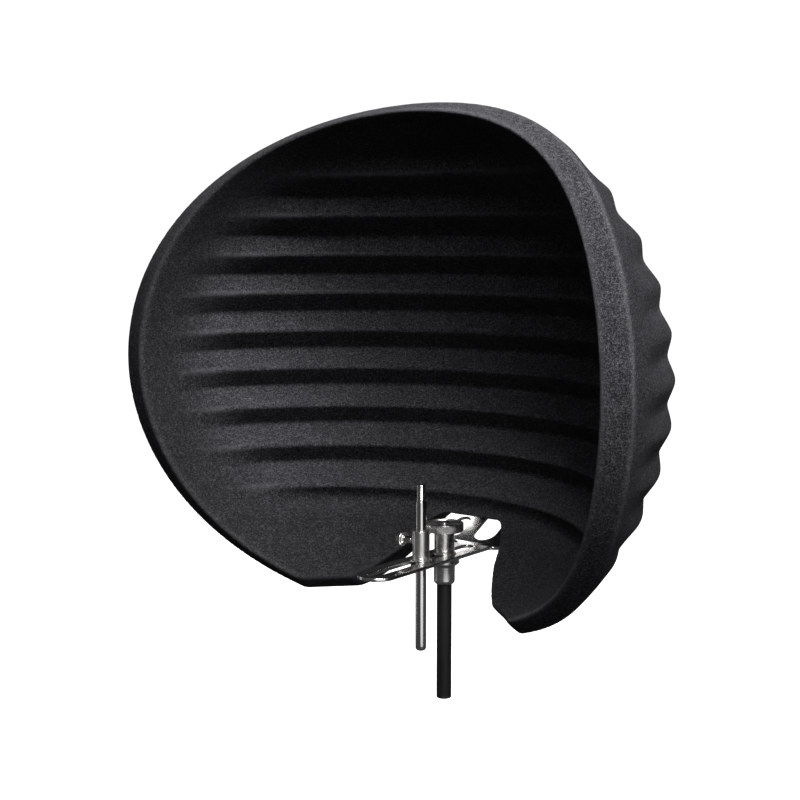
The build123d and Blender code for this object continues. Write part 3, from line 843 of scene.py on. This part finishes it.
def flat_sheet(outlines):
    """Mesh of the flat sheet, with rounded edges along every outline."""
    curve = bpy.data.curves.new("bracket_outline", "CURVE")
    curve.dimensions = "2D"
    curve.fill_mode = "BOTH"
    curve.extrude = SHEET / 2 - EDGE_ROUND
    curve.bevel_depth = EDGE_ROUND
    curve.bevel_resolution = 3
    curve.offset = -EDGE_ROUND
    for line in outlines:
        spline = curve.splines.new("POLY")
        spline.points.add(len(line) - 1)
        spline.points.foreach_set("co", [v for x, y in line for v in (x, y, 0.0, 1.0)])
        spline.use_cyclic_u = True
    flat = add_object("bracket_flat", curve)
    bpy.context.view_layer.update()
    mesh = bpy.data.meshes.new_from_object(flat.evaluated_get(bpy.context.evaluated_depsgraph_get()))
    bpy.data.objects.remove(flat)
    return mesh


def bracket():
    """Slotted bar, slope and flange, cut flat and then bent."""
    mesh = flat_sheet(bracket_outlines())
    work = bmesh.new()
    work.from_mesh(mesh)
    bmesh.ops.remove_doubles(work, verts=work.verts, dist=0.002)
    cuts = [s for run in (RUNS[1], RUNS[3]) for s in np.linspace(run[0], run[0] + run[1], 9)]
    for s in cuts + list(np.arange(-110.0, 45.0, 12.0)):
        geometry = work.verts[:] + work.edges[:] + work.faces[:]
        bmesh.ops.bisect_plane(work, geom=geometry, plane_co=(0, s, 0), plane_no=(0, 1, 0))
    bmesh.ops.dissolve_degenerate(work, dist=0.001, edges=work.edges)
    for v in work.verts:
        v.co = bend(v.co.x, v.co.y, v.co.z + SHEET / 2)
        v.co.z += BAR_TOP
        v.co *= MM
    bmesh.ops.recalc_face_normals(work, faces=work.faces)
    work.to_mesh(mesh)
    work.free()
    mesh.polygons.foreach_set("use_smooth", [True] * len(mesh.polygons))
    piece = add_object("support_bracket_plate", mesh)
    mesh.name = "support_bracket_plate"
    weigh = piece.modifiers.new("even_shading", "WEIGHTED_NORMAL")
    weigh.keep_sharp = True
    weigh.weight = 100
    return piece


dress(bracket(), "screen", PLATE, "steel_polished", "support_bracket")


def flange_place(x, y):
    """Matrix that puts an upright piece on the flange, with +Z into the felt."""
    foot_z = (SLOPE_END_Y - BEND_Y) * math.tan(SLOPE_ANGLE) + BAR_TOP
    up = Vector((0, math.cos(FLANGE_ANGLE), math.sin(FLANGE_ANGLE)))
    normal = Vector((0, -math.sin(FLANGE_ANGLE), math.cos(FLANGE_ANGLE)))
    right = Vector((1, 0, 0))
    place = Vector((0, SLOPE_END_Y, foot_z)) + right * x + up * y
    turn = Matrix((right, up, normal)).transposed().to_4x4()
    return Matrix.Translation(place * MM) @ turn @ Matrix.Translation((0, 0, -BAR_TOP * MM))


def joined(name, parts):
    """Several meshes as one object."""
    work = bmesh.new()
    for part in parts:
        work.from_mesh(part.data)
        bpy.data.objects.remove(part)
    mesh = bpy.data.meshes.new(name)
    work.to_mesh(mesh)
    work.free()
    mesh.polygons.foreach_set("use_smooth", [True] * len(mesh.polygons))
    mesh.set_sharp_from_angle(angle=math.radians(45))
    return add_object(name, mesh)


def hex_rule(radius, height, angle):
    """Turns the socket's round wall into a hexagon."""
    if radius > 2.2 or radius < 1.9:
        return radius
    turn = (angle % (math.pi / 3)) - math.pi / 6
    return radius / math.cos(turn)


def flange_screws():
    """Four button-head screws with hex sockets."""
    made = []
    for index, (x, y) in enumerate(SCREW_SPOTS):
        outline = [(0, -6.2), (1.95, -6.2), (1.98, -7.9), (2.9, -8.0), (4.1, -7.5), (4.95, -6.4),
                   (5.25, -5.2), (5.25, -4.72), (3.0, -4.72), (3.0, 12.2), (2.2, 13.2), (0, 13.25)]
        screw = lathe(f"screw_{index}", soften(outline, 0.25), 72, (0.0, 0.0), hex_rule)
        screw.data.transform(flange_place(x, y))
        made.append(screw)
    return joined("flange_button_screws", made)


def flange_washers():
    """Four flat washers under the screw heads."""
    made = []
    for index, (x, y) in enumerate(SCREW_SPOTS):
        ring = tube(f"washer_{index}", 7.0, 3.25, -4.68, -3.52, 0.3, segments=72)
        ring.data.transform(flange_place(x, y))
        made.append(ring)
    return joined("flange_flat_washers", made)


dress(flange_screws(), "screen", SCREW, "steel_screw", "bracket_screws")
dress(flange_washers(), "screen", SCREW, "steel_screw", "bracket_washers")

# CAD nodes that stay as they are, inside other parts
KEPT = {"felt_inserts": BRASS, "post_spigot": SCREW, "slot_guide": NYLON, "clamp_pad": BRASS}
for node, material in KEPT.items():
    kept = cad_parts[node]
    kept.data.materials.clear()
    kept.data.materials.append(material)


# ------------------------------------------------------------------ floor, light and camera

def floor_material():
    """Pale studio floor."""
    m = Shader("studio_floor")
    grain = m.noise(9.0, 3.0, 0.5)
    m.link(m.ramp(grain, (0.3, (0.90, 0.90, 0.90)), (0.7, (0.93, 0.93, 0.93))), m.bsdf.inputs["Base Color"])
    m.set(Roughness=0.9, Emission_Strength=1.1)
    m.bsdf.inputs["Emission Color"].default_value = (1.0, 1.0, 1.0, 1.0)
    return m.material


FLOOR_Z = -0.42
FLOOR_HALF = 14.0
ground = bpy.data.meshes.new("studio_floor")
ground.from_pydata([(x, y, FLOOR_Z) for x, y in ((-FLOOR_HALF, -FLOOR_HALF), (FLOOR_HALF, -FLOOR_HALF),
                                                 (FLOOR_HALF, FLOOR_HALF), (-FLOOR_HALF, FLOOR_HALF))],
                   [], [(0, 1, 2, 3)])
floor = add_object("studio_floor", ground)
ground.materials.append(floor_material())
floor.visible_diffuse = False
floor.visible_glossy = False

AIM = Vector((0.0, -0.02, 0.30))
DIM_ON_FELT = 0.06
DIM_ON_METAL = 0.07


def soft_light(name, spot, power, size, colour=(1.0, 1.0, 1.0)):
    """Rectangular area light that faces the object."""
    lamp = bpy.data.lights.new(name, "AREA")
    lamp.shape = "RECTANGLE"
    lamp.energy = power
    lamp.size, lamp.size_y = size
    lamp.color = colour
    made = add_object(name, lamp)
    made.location = spot
    made.rotation_mode = "QUATERNION"
    made.rotation_quaternion = (AIM - spot).to_track_quat("-Z", "Y")
    return made


def around(azimuth, elevation, distance):
    """Point round the aim: azimuth 0 is in front of the bowl and 90 to its right."""
    a, e = math.radians(azimuth), math.radians(elevation)
    return AIM + distance * Vector((math.sin(a) * math.cos(e), -math.cos(a) * math.cos(e), math.sin(e)))


def reflector(name, spot, power, size):
    """Panel that only the shiny metal shows."""
    panel = soft_light(name, spot, power, size)
    panel.visible_diffuse = False
    panel.visible_camera = False


soft_light("key_light", around(57, 53, 1.9), 62.0, (1.0, 0.9))
soft_light("right_light", around(74, 45, 2.2), 32.0, (0.7, 0.7))
soft_light("front_light", around(34, 34, 2.2), 9.0, (0.8, 0.6))
soft_light("back_light", around(-125, 35, 2.3), 16.0, (1.0, 1.0))
reflector("front_panel", around(58, 4, 2.0), 15.0, (2.0, 2.2))
reflector("left_strip", around(-62, 5, 2.0), 2.0, (0.25, 2.0))
reflector("back_panel", around(218, 5, 2.6), 26.0, (4.4, 2.4))
reflector("top_strip", around(-150, 62, 2.0), 2.2, (0.25, 1.4))


def studio_world():
    """White behind the object, and a dim even light on it."""
    world = bpy.data.worlds.new("studio")
    world.use_nodes = True
    nodes, links = world.node_tree.nodes, world.node_tree.links
    nodes.clear()
    seen = nodes.new("ShaderNodeBackground")
    seen.inputs["Color"].default_value = (1.0, 1.0, 1.0, 1.0)
    seen.inputs["Strength"].default_value = 1.05
    dim = nodes.new("ShaderNodeBackground")
    dim.inputs["Color"].default_value = (0.93, 0.96, 1.0, 1.0)
    path = nodes.new("ShaderNodeLightPath")
    level = nodes.new("ShaderNodeMapRange")
    level.inputs["To Min"].default_value = DIM_ON_FELT
    level.inputs["To Max"].default_value = DIM_ON_METAL
    links.new(path.outputs["Is Glossy Ray"], level.inputs["Value"])
    links.new(level.outputs[0], dim.inputs["Strength"])
    either = nodes.new("ShaderNodeMixShader")
    links.new(path.outputs["Is Camera Ray"], either.inputs[0])
    links.new(dim.outputs[0], either.inputs[1])
    links.new(seen.outputs[0], either.inputs[2])
    links.new(either.outputs[0], nodes.new("ShaderNodeOutputWorld").inputs[0])
    return world


bpy.context.scene.world = studio_world()
bpy.context.scene.view_settings.view_transform = "Standard"

# camera at the photograph's angle: 38.5 degrees round, 7 degrees above
AZIMUTH, ELEVATION = math.radians(38.5), math.radians(7.0)
LENS = 61.875
DISTANCE = 1.35
HUB = Vector((0.0, 0.0, BAR_TOP * MM))
ahead = Vector((-math.sin(AZIMUTH) * math.cos(ELEVATION), math.cos(AZIMUTH) * math.cos(ELEVATION),
                -math.sin(ELEVATION)))
right = Vector((math.cos(AZIMUTH), math.sin(AZIMUTH), 0.0))
up = right.cross(ahead)
lens = bpy.data.cameras.new("camera")
lens.lens = LENS
lens.sensor_width = 36.0
lens.clip_start, lens.clip_end = 0.05, 60.0
camera = add_object("camera", lens)
camera.location = HUB - (ahead + 0.03229 * right - 0.11127 * up) * DISTANCE
camera.rotation_mode = "QUATERNION"
camera.rotation_quaternion = Matrix((right, up, -ahead)).transposed().to_quaternion()
bpy.context.scene.camera = camera
